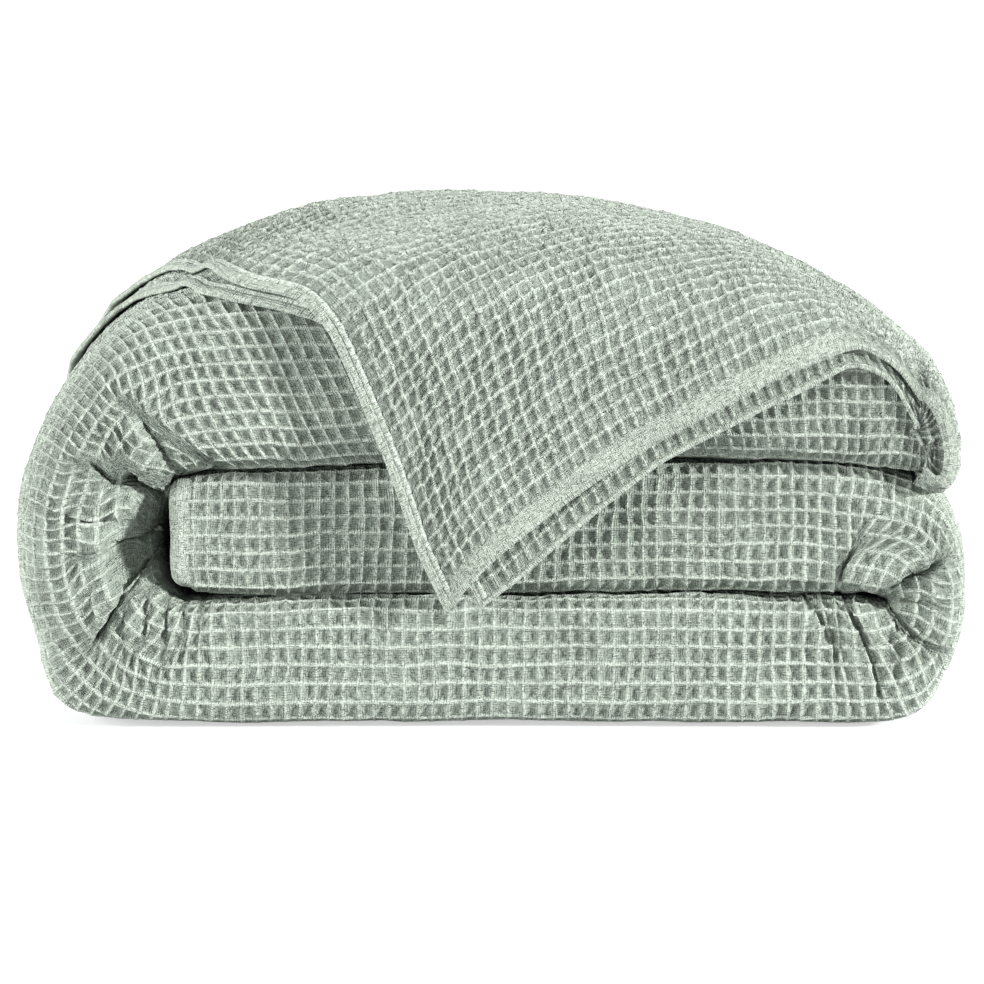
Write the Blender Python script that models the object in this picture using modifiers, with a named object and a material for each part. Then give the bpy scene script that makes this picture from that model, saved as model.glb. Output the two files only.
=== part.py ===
"""Waffle weave cotton blanket, folded for a shelf.

The cloth is folded in half twice, so that four plies lie one on another with their folds to the
front, and the strip is then rolled up like a letter G: the middle band, the right turn, the base
band, the left turn and the top band. The blanket's last stretch comes round the right end of the
top band and lies back over it as two thin layers, turned so that their corners hang in front.

Metres, +Z up, front towards -Y. The origin is at the middle of the footprint, on the surface.
"""

import math

import bmesh
import bpy
import numpy as np

MM = 0.001

# Driving dimensions
DEPTH_BACK = 210 * MM        # from the middle of the blanket to its back folds
MIDDLE_OF_FOOTPRINT = (2 * MM, -1 * MM, 0)
PLY_GAP = 4.0 * MM           # air between two plies of the strip
FRONT_WALL = 37 * MM         # how far back from the front fold the innermost ply turns
BACK_SQUARE = 7.0            # superellipse exponent of the section's back half
TROUGH_Y = -130 * MM         # where the top band dips behind its front crest
TROUGH_WIDTH = 35 * MM
END_ROUNDING = 6 * MM        # how much the strip's two ends are drawn in
LAYER = 3.0 * MM             # thickness of the thin layers on top
PLY_BULGE = 0.3              # how far a ply's back edge bulges, in ply thicknesses

# The strip's centre route, seen from the front: a row for each place where it is measured.
# out is on the outer side of the roll and in on its inner side, both in mm; front is where the
# front fold reaches; square_out and square_in are the superellipse exponents of its two edges;
# trough is how far the outer side dips behind the front crest.
ROUTE_COLUMNS = ("place", "x_out", "z_out", "x_in", "z_in", "front", "square_out", "square_in",
                 "trough")
ROUTE = [
    ("middle end", -191, 152, -189, 84, -199, 10, 10, 0),
    ("middle", -158, 154, -158, 79, -202, 10, 10, 0),
    ("middle", -97, 156, -97, 79, -203, 10, 10, 0),
    ("middle", -24, 157, -24, 79, -203, 10, 10, 0),
    ("middle", 61, 157, 61, 80, -203, 10, 10, 0),
    ("middle", 146, 158, 146, 81, -204, 8, 10, 0),
    ("middle", 200, 158, 195, 82, -206, 7, 10, 0),
    ("right turn", 240, 155, 221, 81, -208, 6, 7, 0),
    ("right turn", 276, 142, 236, 80, -208, 5, 6, 0),
    ("right turn", 293, 117, 246, 78, -208, 5, 6, 0),
    ("right turn", 297, 86, 250, 76, -208, 5, 6, 0),
    ("right turn", 294, 52, 250, 73, -208, 5, 6, 0),
    ("right turn", 279, 19, 243, 71, -209, 5, 6, 0),
    ("right turn", 254, 2, 229, 72, -210, 8, 7, 0),
    ("base", 200, 0.2, 200, 75, -211, 10, 11, 0),
    ("base", 140, 0, 140, 77, -213, 10, 11, 0),
    ("base", 42, 0, 42, 77, -213, 10, 11, 0),
    ("base", -55, 0, -55, 76, -213, 10, 11, 0),
    ("base", -127, 0, -127, 76, -212, 10, 11, 0),
    ("base", -176, 0.2, -170, 75, -210, 10, 11, 0),
    ("left turn", -232, 1.5, -188, 78, -209, 8, 7, 0),
    ("left turn", -265, 12, -199, 85, -208, 6.5, 7, 0),
    ("left turn", -284, 45, -206, 95, -206, 4.5, 7, 0),
    ("left turn", -294, 84, -210, 106, -206, 4.5, 7, 0),
    ("left turn", -295, 126, -211, 117, -206, 4.5, 7, 0),
    ("left turn", -287, 166, -209, 128, -206, 4.5, 7, 0),
    ("left turn", -268, 203, -204, 138, -206, 4.5, 7, 0),
    ("left turn", -246, 233, -197, 147, -207, 4.5, 7, 2),
    ("left turn", -217, 257, -187, 153, -208, 4.2, 7, 5),
    ("top", -183, 276, -167, 157, -208, 4, 12, 8),
    ("top", -120, 299, -105, 160, -208, 3.2, 12, 8),
    ("top", -60, 305, -50, 162, -208, 2.6, 12, 4),
    ("top", 0, 307, 0, 163, -208, 2.4, 12, 0),
    ("top", 60, 304, 55, 164, -208, 2.4, 12, 0),
    ("top", 120, 293, 112, 165, -208, 2.5, 12, 0),
    ("top", 175, 276, 165, 166, -207, 2.8, 12, 0),
    ("top", 217, 256, 205, 167, -206, 3, 12, 0),
    ("top", 244, 239, 234, 166, -204, 2.8, 12, 0),
    ("top end", 264, 222, 258, 162, -200, 2.5, 12, 0),
]

# How the thin layers go on round the right end of the top band, in the same columns.
TURN = [
    ("end turn", 273, 213, 250, 200, -200, 2.5, 6, 0),
    ("end turn", 281, 202, 254, 196, -200, 2.5, 6, 0),
    ("end turn", 285, 189, 256, 190, -200, 2.5, 6, 0),
    ("end turn", 286, 175, 258, 183, -200, 2.5, 6, 0),
    ("end turn", 280, 163, 260, 179, -200, 2.5, 6, 0),
    ("end turn", 266, 160, 262, 178, -200, 2.5, 6, 0),
    ("end tuck", 251, 168, 264, 181, -200, 2.5, 6, 0),
    ("end tuck", 243, 186, 266, 186, -200, 2.5, 6, 0),
]
TURN_STARTS_AT = 21          # the route row where the guide for the thin layers begins

# Gathers where the front fold is turned: share is the place between the first and the last row
# of that turn, depth and width in mm, and reach is how far across the band the gather runs.
GATHERS = [
    ("right turn", 0.10, 9, 7, 0.9),
    ("right turn", 0.42, 16, 8, 1.3),
    ("right turn", 0.66, 12, 7, 1.3),
    ("right turn", 0.92, 10, 7, 1.5),
    ("left turn", 0.06, 8, 7, 0.9),
    ("left turn", 0.22, 12, 8, 1.5),
    ("left turn", 0.46, 14, 8, 1.2),
    ("left turn", 0.70, 14, 8, 1.3),
    ("left turn", 0.90, 12, 8, 1.6),
]
GATHER_FADE = 90 * MM        # a gather dies out this far behind the front fold

# The two thin layers, each with its clearance above the band in mm and the outline of its cut.
# along is the distance along the band from the middle, down the distance over the front from the
# middle line of the top, both in mm. The first corner is the one that hangs in front.
EDGE_COLUMNS = ("along", "down")
LAYERS = [
    ("layer_under", 4.5, [
        (-8, 403), (23, 386), (75, 344), (112, 311), (161, 279), (199, 252), (231, 225),
        (257, 203), (274, 190), (500, 188), (500, -285), (-270, -285), (-410, -222),
        (-300, 46), (-242, 80), (-208, 130), (-182, 199), (-158, 216), (-127, 228),
        (-100, 237), (-77, 266), (-55, 316), (-30, 373),
    ]),
    ("layer_top", 10.0, [
        (-34, 412), (8, 379), (55, 346), (99, 314), (148, 281), (197, 247), (236, 219),
        (268, 192), (500, 190), (500, -295), (-270, -295), (-400, -222), (-228, 60),
        (-198, 111), (-167, 202), (-150, 219), (-117, 230), (-101, 251), (-74, 325),
        (-54, 381),
    ]),
]

# The lines at which the cut is bent, along and down in mm, closer together where it turns more.
FOLD_LINES_ALONG = (-380, -350, -320, -290, -260, -230, -200, -160, -120, -80, -40, 0, 40, 80, 120,
                    160, 190, 215, 235, 252, 268, 284, 300, 314, 328, 342, 356, 370, 384, 398, 412, 430)
FOLD_LINES_DOWN = (-260, -235, -225, -215, -205, -190, -160, -110, -50, 20, 90, 140, 170,
                   190, 210, 220, 230, 242, 262, 300, 340)
END_LINE = 252               # past this fold line the layers turn down round the right end
END_HALF = 205               # and there they reach no further back than this from the middle

# Where a ring's points lie on each level of the section, as shares of the way from the front
# fold to the back edge.
SKIN_SHARES = (0.0, 0.035, 0.07, 0.10, 0.14, 0.22, 0.36, 0.58, 0.80, 1.0)
PLY_SHARES = (0.0, 0.09, 0.18, 0.45, 0.75, 1.0)
CORE_SHARES = (0.25, 0.6, 1.0)
RINGS_PER_ROW = {"middle": 1, "right turn": 2, "base": 1, "left turn": 2, "top": 1}


def smooth_rows(rows, places):
    """Catmull-Rom values of the table's number columns at fractional row places."""
    values = np.array([row[1:] for row in rows], float)
    last = len(values) - 1
    found = []
    for place in places:
        i = min(int(place), last - 1)
        t = place - i
        p0, p1, p2, p3 = (values[min(max(k, 0), last)] for k in (i - 1, i, i + 1, i + 2))
        found.append(0.5 * (2 * p1 + (p2 - p0) * t + (2 * p0 - 5 * p1 + 4 * p2 - p3) * t ** 2
                            + (3 * p1 - p0 - 3 * p2 + p3) * t ** 3))
    return np.array(found)


def ring_places():
    """Row places of the strip's rings: closer together in the turns, which carry the gathers."""
    places = []
    for i, row in enumerate(ROUTE[:-1]):
        steps = RINGS_PER_ROW[row[0].replace(" end", "")]
        places += [i + k / steps for k in range(steps)]
    return places + [len(ROUTE) - 1]


def gather_places():
    """(row place, depth, width in row places, reach) of each gather."""
    found = []
    for turn, share, depth, width, reach in GATHERS:
        rows = [i for i, row in enumerate(ROUTE) if row[0] == turn]
        place = rows[0] + share * (rows[-1] - rows[0])
        found.append((place, depth * MM, width / 12.0, reach))
    return found


class Section:
    """The strip's cross-section at one place: a frame in the roll's plane and its outline."""

    def __init__(self, values):
        x_out, z_out, x_in, z_in, front, self.square_out, self.square_in, trough = values
        outer, inner = np.array([x_out, z_out]) * MM, np.array([x_in, z_in]) * MM
        self.middle = (outer + inner) / 2
        self.half = np.linalg.norm(outer - inner) / 2
        self.normal = (outer - inner) / (2 * self.half)
        self.front = front * MM
        self.trough = trough * MM
        self.reach = (DEPTH_BACK - self.front) / 2
        self.y_middle = (DEPTH_BACK + self.front) / 2

    def half_curve(self, level, side, clearance=0.0):
        """(y, n) of a level's outline from the front fold (first) to the back edge (last)."""
        back = (DEPTH_BACK - PLY_BULGE * self.half - self.y_middle) / self.reach
        last = math.pi if clearance else math.pi - math.acos(back ** (BACK_SQUARE / 2))
        angle = np.linspace(0, last, 400)
        square = np.where(angle < math.pi / 2,
                          self.square_out if side > 0 else self.square_in, BACK_SQUARE)
        reach = self.reach + clearance - (1 - level) * FRONT_WALL * (angle < math.pi / 2)
        c, s = np.cos(angle), np.sin(angle)
        y = self.y_middle - np.sign(c) * np.abs(c) ** (2 / square) * reach
        n = side * np.abs(s) ** (2 / square) * (level * self.half + clearance)
        if side > 0:
            n -= level * self.trough * np.exp(-((y - TROUGH_Y) / TROUGH_WIDTH) ** 2)
        return np.stack([y, n], axis=1)

    def at_shares(self, level, side, shares):
        curve = self.half_curve(level, side)
        steps = np.linalg.norm(np.diff(curve, axis=0), axis=1)
        along = np.concatenate([[0], np.cumsum(steps)])
        return np.stack([np.interp(np.array(shares) * along[-1], along, curve[:, k])
                         for k in (0, 1)], axis=1)

    def ring(self):
        """The closed outline of the four plies, in order, as (y, n) points."""
        gap = PLY_GAP / (2 * self.half)
        ply = self.half / 2
        skin_out = self.at_shares(1, 1, SKIN_SHARES)
        skin_in = self.at_shares(1, -1, SKIN_SHARES)
        fold_out = self.at_shares(0.5 - gap, 1, PLY_SHARES)
        fold_in = self.at_shares(0.5 - gap, -1, PLY_SHARES)
        wall_out = self.at_shares(0.5 + gap, 1, PLY_SHARES)
        wall_in = self.at_shares(0.5 + gap, -1, PLY_SHARES)
        core_out = self.at_shares(gap, 1, CORE_SHARES)
        core_in = self.at_shares(gap, -1, CORE_SHARES)
        rings = [
            skin_out[::-1],
            skin_in[1:],
            self.back_fold(skin_in[-1], core_in[-1], 2 * PLY_BULGE * ply, 4),
            core_in[::-1],
            core_out,
            self.back_fold(core_out[-1], fold_out[-1], PLY_BULGE * ply, 3),
            fold_out[::-1],
            fold_in[1:-1],
            [(fold_in[-1] + wall_in[-1]) / 2],
            wall_in[-2::-1],
            wall_out[1:],
            self.back_fold(wall_out[-1], skin_out[-1], PLY_BULGE * ply, 3),
        ]
        return np.concatenate([np.array(part) for part in rings if len(part)])

    def back_fold(self, start, end, bulge, steps):
        """The round back edge between two surfaces of a ply."""
        shares = np.arange(1, steps) / steps
        points = start + np.outer(shares, end - start)
        points[:, 0] += bulge * np.sin(shares * math.pi)
        return points

    def to_world(self, points):
        flat = self.middle + np.outer(points[:, 1], self.normal)
        return np.column_stack([flat[:, 0], points[:, 0], flat[:, 1]])


def gathered(points, section, place, gathers):
    """Pushes the front fold in along each gather, most at the inner side of the turn."""
    moved = points.copy()
    behind = (moved[:, 0] - section.front) / GATHER_FADE
    fade = np.clip(1 - behind, 0, 1) ** 2
    across = moved[:, 1] / section.half
    for centre, depth, width, reach in gathers:
        inner = np.clip((reach - 1 - across) / reach, 0, 1)
        moved[:, 0] += depth * np.exp(-((place - centre) / width) ** 2) * inner * fade
    return moved


def build_strip():
    """The four-ply strip as one closed loft along the route."""
    mesh = bmesh.new()
    places = ring_places()
    gathers = gather_places()
    rings = []
    for number, (place, values) in enumerate(zip(places, smooth_rows(ROUTE, places))):
        section = Section(values)
        points = gathered(section.ring(), section, place, gathers)
        if number in (0, len(places) - 1):
            points[:, 1] *= 1 - END_ROUNDING / section.half
            points[:, 0] += END_ROUNDING * np.clip(1 - (points[:, 0] - section.front) / 0.1, 0, 1)
        rings.append([mesh.verts.new(p) for p in section.to_world(points)])
    for first, second in zip(rings, rings[1:]):
        for k in range(len(first)):
            after = (k + 1) % len(first)
            mesh.faces.new((first[k], first[after], second[after], second[k]))
    mesh.faces.new(rings[0][::-1])
    mesh.faces.new(rings[-1])
    bmesh.ops.triangulate(mesh, faces=mesh.faces)
    bmesh.ops.recalc_face_normals(mesh, faces=mesh.faces)
    return new_object("blanket", mesh)


class Guide:
    """The surface that the thin layers follow: over the top band, its front and its right end."""

    STEP = 2 * MM

    def __init__(self, clearance):
        rows = ROUTE[TURN_STARTS_AT:] + TURN
        places = np.linspace(0, len(rows) - 1, 12 * len(rows))
        self.sections = [Section(values) for values in smooth_rows(rows, places)]
        self.clearance = clearance
        outer = np.array([s.middle + s.normal * (s.half + clearance) for s in self.sections])
        steps = np.linalg.norm(np.diff(outer, axis=0), axis=1)
        self.along = np.concatenate([[0], np.cumsum(steps)])
        self.along -= np.interp(0, outer[:, 0][:150], self.along[:150])
        self.curves = [self.profile(s) for s in self.sections]

    def profile(self, section):
        """(distance over the top, y, n): down the front, over the top and down the back."""
        over = section.half_curve(1, 1, self.clearance)
        drop = np.array([[0, 0.4]])
        front = over[0] - drop
        back = over[-1] - drop
        curve = np.concatenate([[front[0]], over, [back[0]]])
        steps = np.linalg.norm(np.diff(curve, axis=0), axis=1)
        down = np.concatenate([[0], np.cumsum(steps)])
        down = np.interp(0, curve[1:-1, 0], down[1:-1]) - down
        return down, curve

    def point(self, along, down):
        """The place of a point that lies along and down from the middle of the top."""
        position = np.interp(along, self.along, np.arange(len(self.along)))
        first = min(int(position), len(self.along) - 2)
        share = position - first
        ends = []
        for section, (distance, curve) in zip(self.sections[first:first + 2],
                                              self.curves[first:first + 2]):
            y, n = (np.interp(down, distance[::-1], curve[::-1, k]) for k in (0, 1))
            flat = section.middle + n * section.normal
            ends.append(np.array([flat[0], y, flat[1]]))
        return ends[0] * (1 - share) + ends[1] * share

    @property
    def right_end(self):
        return self.along[-1]


def cut(mesh, place, direction, clear):
    """Cuts the flat mesh along a line and, if clear, drops what lies beyond it."""
    whole = mesh.verts[:] + mesh.edges[:] + mesh.faces[:]
    bmesh.ops.bisect_plane(mesh, geom=whole, plane_co=place, plane_no=direction,
                           clear_outer=clear)


def beyond_the_end(place):
    """Whether the cloth there is folded in at the right end, out of sight."""
    return place.x > END_LINE * MM and place.y < -END_HALF * MM


def build_layer(name, clearance, edge):
    """One thin layer: a flat cut, trimmed at the tuck, bent at its fold lines and laid over."""
    guide = Guide(clearance * MM)
    mesh = bmesh.new()
    corners = [mesh.verts.new((along * MM, down * MM, 0)) for along, down in edge]
    mesh.faces.new(corners)
    cut(mesh, (guide.right_end, 0, 0), (1, 0, 0), True)
    for place in FOLD_LINES_ALONG:
        cut(mesh, (place * MM, 0, 0), (1, 0, 0), False)
    for place in FOLD_LINES_DOWN:
        cut(mesh, (0, place * MM, 0), (0, 1, 0), False)
    tucked = [face for face in mesh.faces if beyond_the_end(face.calc_center_median())]
    bmesh.ops.delete(mesh, geom=tucked, context="FACES")
    for vert in mesh.verts:
        vert.co = guide.point(vert.co.x, vert.co.y)
    bmesh.ops.recalc_face_normals(mesh, faces=mesh.faces)
    layer = new_object(name, mesh)
    solidify = layer.modifiers.new("thickness", "SOLIDIFY")
    solidify.thickness = LAYER
    solidify.offset = 0
    return layer


def new_object(name, mesh):
    """Makes the mesh an object, moved so that the origin is at the middle of the footprint."""
    bmesh.ops.translate(mesh, verts=mesh.verts, vec=MIDDLE_OF_FOOTPRINT)
    data = bpy.data.meshes.new(name)
    mesh.to_mesh(data)
    mesh.free()
    return bpy.data.objects.new(name, data)


def cotton():
    """Washed sage green cotton."""
    material = bpy.data.materials.new("sage_cotton")
    material.use_nodes = True
    shader = material.node_tree.nodes["Principled BSDF"]
    shader.inputs["Base Color"].default_value = (0.41, 0.48, 0.40, 1)
    shader.inputs["Roughness"].default_value = 0.92
    shader.inputs["Metallic"].default_value = 0
    return material


def new_collection(name):
    collection = bpy.data.collections.new(name)
    bpy.context.scene.collection.children.link(collection)
    return collection


def main():
    for old in list(bpy.data.objects):
        bpy.data.objects.remove(old)
    part, helpers = new_collection("waffle_blanket"), new_collection("joined_layers")
    blanket = build_strip()
    part.objects.link(blanket)
    blanket.data.materials.append(cotton())
    for row in LAYERS:
        layer = build_layer(*row)
        helpers.objects.link(layer)
        layer.hide_render = True
        layer.display_type = "WIRE"
        join = blanket.modifiers.new("join " + layer.name, "BOOLEAN")
        join.operation = "UNION"
        join.solver = "EXACT"
        join.object = layer


main()
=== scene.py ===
import math

import bmesh
import bpy
import numpy as np
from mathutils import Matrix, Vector


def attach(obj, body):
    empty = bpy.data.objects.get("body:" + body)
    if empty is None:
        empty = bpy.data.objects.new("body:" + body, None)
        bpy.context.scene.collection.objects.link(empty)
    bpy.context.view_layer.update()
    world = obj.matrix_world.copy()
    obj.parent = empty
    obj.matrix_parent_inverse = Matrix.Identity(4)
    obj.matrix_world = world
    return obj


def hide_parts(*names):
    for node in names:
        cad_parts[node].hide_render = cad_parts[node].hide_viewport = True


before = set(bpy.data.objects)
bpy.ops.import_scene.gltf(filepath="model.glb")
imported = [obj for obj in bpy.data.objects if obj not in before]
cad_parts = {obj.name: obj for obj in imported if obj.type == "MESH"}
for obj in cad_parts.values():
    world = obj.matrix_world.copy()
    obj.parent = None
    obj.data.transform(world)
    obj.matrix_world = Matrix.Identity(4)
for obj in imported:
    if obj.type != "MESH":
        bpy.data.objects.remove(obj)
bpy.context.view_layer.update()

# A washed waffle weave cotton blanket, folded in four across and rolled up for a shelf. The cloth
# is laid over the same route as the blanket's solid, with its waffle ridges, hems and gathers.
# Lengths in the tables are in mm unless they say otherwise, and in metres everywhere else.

mm = 0.001
footprintShift = np.array([0.002, -0.001, 0])    # puts the middle of the footprint at the origin

# The strip's centre route as in the solid: place, x and z of its outer side, x and z of its inner
# side, front fold, squareness of the outer and inner edge, trough behind the front crest.
route = [
    ("middle end", -194, 152, -193, 83, -201, 12, 12, 0),
    ("middle", -158, 154.5, -158, 79, -196, 12, 13, 0),
    ("middle", -97, 157, -97, 79, -192, 12, 13, 0),
    ("middle", -24, 159.5, -24, 79, -191, 12, 13, 0),
    ("middle", 61, 161.5, 61, 80, -191, 12, 13, 0),
    ("middle", 146, 162.5, 146, 81, -192, 10, 13, 0),
    ("middle", 200, 162.5, 196, 81.5, -196, 8, 14, 0),
    ("right turn", 240, 159.5, 222, 80.5, -205, 6, 12, 0),
    ("right turn", 274, 148, 234, 79, -208, 4, 10, 0),
    ("right turn", 292, 121, 241, 77, -208, 3.4, 9, 0),
    ("right turn", 297.5, 88, 244, 75.5, -208, 3.3, 9, 0),
    ("right turn", 295, 54, 243, 74.5, -208, 3.4, 9, 0),
    ("right turn", 280, 20, 238, 75, -209, 4, 10, 0),
    ("right turn", 254, 2.5, 226, 76.5, -210, 8, 12, 0),
    ("base", 200, 0.2, 199, 78, -206, 10, 12, 0),
    ("base", 140, 0, 140, 78.5, -205, 10, 14, 0),
    ("base", 42, 0, 42, 78.5, -204, 10, 14, 0),
    ("base", -55, 0, -55, 78, -204, 10, 14, 0),
    ("base", -127, 0, -127, 77.5, -205, 10, 14, 0),
    ("base", -176, 0.2, -170, 76, -206, 10, 13, 0),
    ("left turn", -232, 1.5, -188, 78, -209, 8, 10, 0),
    ("left turn", -265, 12, -194, 86, -208, 6.5, 9, 0),
    ("left turn", -284, 45, -198, 95, -206, 3.6, 8, 0),
    ("left turn", -294, 84, -200, 106, -206, 3.4, 8, 0),
    ("left turn", -295, 126, -200, 117, -206, 3.4, 8, 0),
    ("left turn", -287, 166, -199, 128, -206, 3.4, 8, 0),
    ("left turn", -268, 203, -196, 138, -206, 3.4, 8, 0),
    ("left turn", -246, 233, -192, 146, -207, 3.6, 9, 2),
    ("left turn", -217, 257, -187, 151, -208, 4.2, 10, 5),
    ("top", -183, 276, -167, 154, -206, 4, 9, 8),
    ("top", -120, 299, -105, 155, -204, 3.2, 8, 8),
    ("top", -60, 305, -50, 157, -203, 2.6, 7.5, 4),
    ("top", 0, 307, 0, 159, -203, 2.4, 7.5, 0),
    ("top", 60, 304, 55, 160, -203, 2.4, 7.5, 0),
    ("top", 120, 293, 112, 159, -203, 2.5, 7.5, 0),
    ("top", 175, 276, 165, 158.5, -203, 2.8, 7.5, 0),
    ("top", 217, 256, 207, 158.5, -202, 3, 8, 0),
    ("top", 244, 239, 236, 156.5, -204, 2.8, 12, 0),
    ("top end", 262, 223, 256, 153, -200, 2.5, 12, 0),
]
endTurn = [
    ("end turn", 269, 215, 254, 176, -200, 2.7, 6, 0),
    ("end turn", 273.5, 204, 256, 180, -200, 3.2, 6, 0),
    ("end turn", 276.5, 191, 258, 183, -200, 4, 6, 0),
    ("end turn", 278, 177, 261, 181, -200, 5, 6, 0),
    ("end turn", 278, 162, 263, 173, -200, 6, 6, 0),
    ("end turn", 275, 152, 264, 169, -200, 6, 6, 0),
    ("end tuck", 269, 151, 265, 168, -200, 6, 6, 0),
    ("end tuck", 262, 158, 267, 171, -200, 6, 6, 0),
]
# How the top band is drawn down at its right end, inside the fold of the thin layers.
topTail = [
    ("top end", 271, 212, 268, 150, -200, 2.9, 10, 0),
    ("top end", 278, 201, 275, 147, -199, 3.4, 9, 0),
]
# The steps are points round the outline, those of a back fold and those that reach into the gap.
section = {
    "depthBack": 210 * mm, "backSquare": 7.0, "frontWall": 37 * mm, "plyGap": 4 * mm,
    "plyBulge": 0.3, "troughY": -130 * mm, "troughWidth": 35 * mm,
    "steps": 400, "foldSteps": 14, "gapSteps": 120,
}


# Smooth random values from -1 to 1 that change over about the given distance.
def softNoise(x, y, scale, seed):
    size, start = 61, (7.3, 3.1)
    table = np.random.default_rng(seed).uniform(-1, 1, (size, size))
    px, py = np.broadcast_arrays(np.asarray(x) / scale + start[0], np.asarray(y) / scale + start[1])
    i, j = np.floor(px).astype(int), np.floor(py).astype(int)
    s, t = px - i, py - j
    s, t = s * s * (3 - 2 * s), t * t * (3 - 2 * t)
    i0, i1, j0, j1 = i % size, (i + 1) % size, j % size, (j + 1) % size
    return ((table[i0, j0] * (1 - s) + table[i1, j0] * s) * (1 - t)
            + (table[i0, j1] * (1 - s) + table[i1, j1] * s) * t)


# Several of them added up, each given as (size, distance, seed).
def layeredNoise(x, y, layers):
    return sum(size * softNoise(x, y, scale, seed) for size, scale, seed in layers)


def smoothStep(low, high, value):
    t = np.clip((value - low) / (high - low), 0, 1)
    return t * t * (3 - 2 * t)


# Each point of a grid averaged with its neighbours.
def eased(values):
    result = values.copy()
    result[1:-1, 1:-1] = (2 * values[1:-1, 1:-1] + values[:-2, 1:-1] + values[2:, 1:-1]
                          + values[1:-1, :-2] + values[1:-1, 2:]) / 6
    return result


# A table's numbers at places between its rows, on a smooth (Catmull-Rom) curve.
def rowValues(rows, places):
    values = np.array([row[1:] for row in rows], float)
    last = len(values) - 1
    i = np.clip(np.asarray(places).astype(int), 0, last - 1)
    t = (np.asarray(places) - i)[:, None]
    p0, p1, p2, p3 = (values[np.clip(i + k, 0, last)] for k in (-1, 0, 1, 2))
    return 0.5 * (2 * p1 + (p2 - p0) * t + (2 * p0 - 5 * p1 + 4 * p2 - p3) * t ** 2
                  + (3 * p1 - p0 - 3 * p2 + p3) * t ** 3)


# The strip's cross-section at one place of the route, as in the solid.
class Section:
    def __init__(self, values):
        xOut, zOut, xIn, zIn, front, self.squareOut, self.squareIn, trough = values
        outer, inner = np.array([xOut, zOut]) * mm, np.array([xIn, zIn]) * mm
        self.middle = (outer + inner) / 2
        self.half = np.linalg.norm(outer - inner) / 2
        self.normal = (outer - inner) / (2 * self.half)
        self.front, self.trough = front * mm, trough * mm
        self.reach = (section["depthBack"] - self.front) / 2
        self.yMiddle = (section["depthBack"] + self.front) / 2

    # y and height along a level's outline, from the front fold to the back edge
    def halfCurve(self, level, side, clearance=0.0):
        back = (section["depthBack"] - section["plyBulge"] * self.half - self.yMiddle)
        last = math.pi
        if not clearance:
            last -= math.acos((back / self.reach) ** (section["backSquare"] / 2))
        angle = np.linspace(0, last, section["steps"])
        atFront = angle < math.pi / 2
        square = np.where(atFront, self.squareOut if side > 0 else self.squareIn,
                          section["backSquare"])
        reach = self.reach + clearance - (1 - level) * section["frontWall"] * atFront
        c, s = np.cos(angle), np.sin(angle)
        y = self.yMiddle - np.sign(c) * np.abs(c) ** (2 / square) * reach
        n = side * np.abs(s) ** (2 / square) * (level * self.half + clearance)
        if side > 0:
            n -= level * self.trough * np.exp(-((y - section["troughY"])
                                                / section["troughWidth"]) ** 2)
        return np.stack([y, n], axis=1)

    def backFold(self, start, end, bulge):
        share = np.linspace(0, 1, section["foldSteps"])[1:-1]
        points = start + np.outer(share, end - start)
        points[:, 0] += bulge * np.sin(share * math.pi)
        return points

    # the outer ply from the front fold over one side, round the back fold and into the gap
    def skin(self, side):
        gap, ply = section["plyGap"] / (2 * self.half), self.half / 2
        over = self.halfCurve(1, side)
        inside = self.halfCurve(0.5 + gap, 1) if side > 0 else self.halfCurve(gap, -1)
        bulge = section["plyBulge"] * ply * (1 if side > 0 else 2)
        fold = self.backFold(over[-1], inside[-1], bulge)
        return np.concatenate([over, fold, inside[::-1][:section["gapSteps"]]])

    # the third ply's back edge, from the gap on its one side to the gap on its other
    def innerFold(self):
        gap, ply = section["plyGap"] / (2 * self.half), self.half / 2
        core, wall = self.halfCurve(gap, 1), self.halfCurve(0.5 - gap, 1)
        fold = self.backFold(core[-1], wall[-1], section["plyBulge"] * ply)
        reach = section["gapSteps"]
        return np.concatenate([core[-reach:], fold, wall[::-1][:reach]])


def lengthsAlong(points):
    steps = np.linalg.norm(np.diff(points, axis=0), axis=1)
    return np.concatenate([[0], np.cumsum(steps)])


# The weave: a cell's size in the flat cloth, its ridges across and along the strip, how deep the
# whole lies in the solid's face, the ridge's profile as places in the cell and heights, how uneven
# the ridges are and how far they stray, as (size, distance, seed).
waffle = {
    "alongPitch": 9.0 * mm, "acrossPitch": 11 * mm,
    "acrossRidge": 2.1 * mm, "alongRidge": 2.4 * mm, "sunk": 0.7 * mm,
    "profile": ((0, 0.07, 0.17, 0.5), (1, 0.78, 0.04, -0.2)),
    "uneven": ((0.25, 21 * mm, 5), (0.30, 6 * mm, 6)),
    "stray": ((1.2 * mm, 16 * mm, 31), (1.4 * mm, 60 * mm, 32)),
}
# Where the lines of the mesh lie in a cell, closer together where the cloth bends or is seen closely.
lineShares = {
    "face": (0.0, 0.14, 0.5, 0.86), "back": (0.0, 0.15, 0.85),
    "turn": (0.0, 0.07, 0.15, 0.32, 0.5, 0.68, 0.85, 0.93),
    "front": (0.0, 0.07, 0.15, 0.38, 0.62, 0.85, 0.93),
}


def cellPlaces(first, count, shares):
    return np.array([first + cell + share for cell in range(count) for share in shares] + [first + count])


# How high the cloth stands at a distance from a ridge line, as a share of the ridge: the ridge, its
# foot and the sagging floor of the pocket.
def ridgeShare(places):
    return np.interp(np.abs(places - np.round(places)), *waffle["profile"])


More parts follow.
